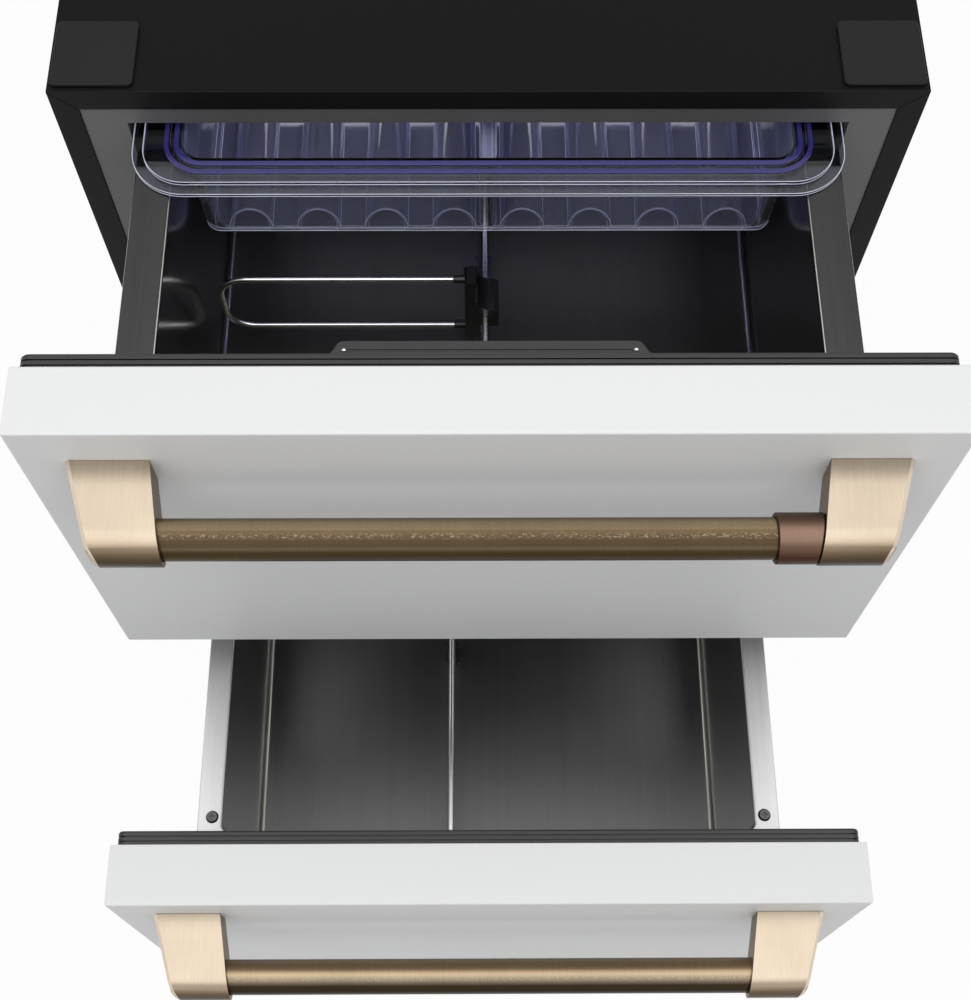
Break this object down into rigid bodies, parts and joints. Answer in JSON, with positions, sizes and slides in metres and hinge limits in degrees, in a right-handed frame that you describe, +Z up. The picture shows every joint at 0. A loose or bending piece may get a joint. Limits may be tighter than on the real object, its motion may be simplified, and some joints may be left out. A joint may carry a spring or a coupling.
{
  "type": "undercounter drawer refrigerator",
  "caption": "Undercounter refrigerator with white full-width drawers on telescopic slides, bronze bar handles, steel bins and a clear corrugated tray.",
  "frame": {"origin": "On the floor, in the middle of the area covered with both drawers as stored: the upper open 198 mm and the lower open 415 mm.", "axes": "+Z up, +Y towards the appliance's back, +X to the right as seen from the front"},
  "size_m": [0.603, 1.1085, 0.879],
  "materials": {
    "shell_black": "semi-gloss black paint",
    "frame_black": "satin black paint",
    "panel_white": "smooth white enamel",
    "foam": "rigid polyurethane foam",
    "liner_grey": "dark grey satin plastic",
    "inner_grey": "charcoal satin plastic",
    "gasket_black": "soft black",
    "bin_steel": "fine brushed stainless",
    "slide_steel": "zinc plated",
    "slide_dark": "dark zinc",
    "screw_black": "black oxide",
    "wire_chrome": "polished",
    "handle_bronze": "warm satin bronze",
    "sleeve_copper": "dark satin copper",
    "housing_black": "satin black",
    "clip_black": "black nylon",
    "tray_clear": "clear blue-tinted plastic",
    "pad_black": "grained black",
    "duct_white": "satin",
    "lamp_white": "frosted",
    "base_steel": "galvanised",
    "pot_black": "gloss black",
    "coil_black": "black dip coat",
    "fin_aluminium": "plain",
    "pipe_copper": "bare copper",
    "fan_plastic": "satin",
    "motor_grey": "satin",
    "foot_black": "satin"
  },
  "bodies": {
    "cabinet": {"wrapper": "shell_black", "foam_insulation": "foam", "liner": "liner_grey", "frame_top": "frame_black", "frame_bottom": "frame_black", "frame_sides": "frame_black", "mullion": "liner_grey", "back_panel": "shell_black", "base_pan": "base_steel", "kick_grille": "frame_black", "corner_pads": "pad_black", "compressor": "pot_black", "condenser": "coil_black", "condenser_fan_motor": "motor_grey", "evaporator": "fin_aluminium", "duct_cover": "duct_white", "evaporator_fan_motor": "motor_grey", "refrigerant_lines": "pipe_copper", "drain_pan": "foot_black", "control_box": "duct_white", "lamp": "lamp_white", "cord_gland": "foot_black", "slide_outers": "slide_dark"},
    "condenser_fan": {"condenser_fan": "fan_plastic"},
    "evaporator_fan": {"evaporator_fan": "fan_plastic"},
    "leg_front_left": {"leg_front_left": "foot_black"},
    "leg_front_right": {"leg_front_right": "foot_black"},
    "leg_back_left": {"leg_back_left": "foot_black"},
    "leg_back_right": {"leg_back_right": "foot_black"},
    "upper_drawer": {"upper_panel_skin": "panel_white", "upper_panel_foam": "foam", "upper_inner_liner": "inner_grey", "upper_gasket": "gasket_black", "upper_bin": "bin_steel", "upper_bin_screws": "screw_black", "upper_rod": "wire_chrome", "upper_rod_post": "slide_dark", "upper_handle_bar": "handle_bronze", "upper_handle_caps": "handle_bronze", "handle_sleeve": "sleeve_copper", "control_housing": "housing_black", "upper_slide_inners": "slide_steel"},
    "upper_slide_mid": {"upper_slide_mids": "slide_steel", "upper_slide_cages": "slide_steel"},
    "divider": {"divider_clip": "clip_black", "divider_loop": "wire_chrome"},
    "tray": {"tray": "tray_clear"},
    "lower_drawer": {"lower_panel_skin": "panel_white", "lower_panel_foam": "foam", "lower_inner_liner": "inner_grey", "lower_gasket": "gasket_black", "lower_bin": "bin_steel", "lower_bin_screws": "screw_black", "lower_rod": "wire_chrome", "lower_rod_post": "slide_dark", "lower_handle_bar": "handle_bronze", "lower_handle_caps": "handle_bronze", "lower_slide_inners": "slide_steel"},
    "lower_slide_mid": {"lower_slide_mids": "slide_steel", "lower_slide_cages": "slide_steel"}
  },
  "joints": [
    {"name": "upper_drawer_travel", "type": "slide", "parent": "cabinet", "child": "upper_drawer", "axis": [0, -1, 0], "range_m": [-0.198, 0.252]},
    {"name": "lower_drawer_travel", "type": "slide", "parent": "cabinet", "child": "lower_drawer", "axis": [0, -1, 0], "range_m": [-0.415, 0.035]},
    {"name": "upper_slide_travel", "type": "slide", "parent": "cabinet", "child": "upper_slide_mid", "axis": [0, -1, 0], "range_m": [-0.099, 0.126]},
    {"name": "lower_slide_travel", "type": "slide", "parent": "cabinet", "child": "lower_slide_mid", "axis": [0, -1, 0], "range_m": [-0.2075, 0.0175]},
    {"name": "tray_travel", "type": "slide", "parent": "upper_drawer", "child": "tray", "axis": [0, -1, 0], "range_m": [0, 0.115]},
    {"name": "divider_travel", "type": "slide", "parent": "upper_drawer", "child": "divider", "axis": [0, 1, 0], "range_m": [-0.11, 0.018]},
    {"name": "condenser_fan_spin", "type": "hinge", "parent": "cabinet", "child": "condenser_fan", "pos_m": [-0.07, 0.13825, 0.0772], "axis": [0, 1, 0], "continuous": true},
    {"name": "evaporator_fan_spin", "type": "hinge", "parent": "cabinet", "child": "evaporator_fan", "pos_m": [0, 0.44925, 0.595], "axis": [0, 1, 0], "continuous": true},
    {"name": "leg_front_left_turn", "type": "hinge", "parent": "cabinet", "child": "leg_front_left", "pos_m": [-0.2655, 0.09125, 0.02], "axis": [0, 0, 1], "continuous": true},
    {"name": "leg_front_right_turn", "type": "hinge", "parent": "cabinet", "child": "leg_front_right", "pos_m": [0.2655, 0.09125, 0.02], "axis": [0, 0, 1], "continuous": true},
    {"name": "leg_back_left_turn", "type": "hinge", "parent": "cabinet", "child": "leg_back_left", "pos_m": [-0.2655, 0.50325, 0.02], "axis": [0, 0, 1], "continuous": true},
    {"name": "leg_back_right_turn", "type": "hinge", "parent": "cabinet", "child": "leg_back_right", "pos_m": [0.2655, 0.50325, 0.02], "axis": [0, 0, 1], "continuous": true}
  ],
  "couplings": [
    {"joint": "upper_slide_travel", "follows": "upper_drawer_travel", "ratio": 0.5},
    {"joint": "lower_slide_travel", "follows": "lower_drawer_travel", "ratio": 0.5}
  ]
}
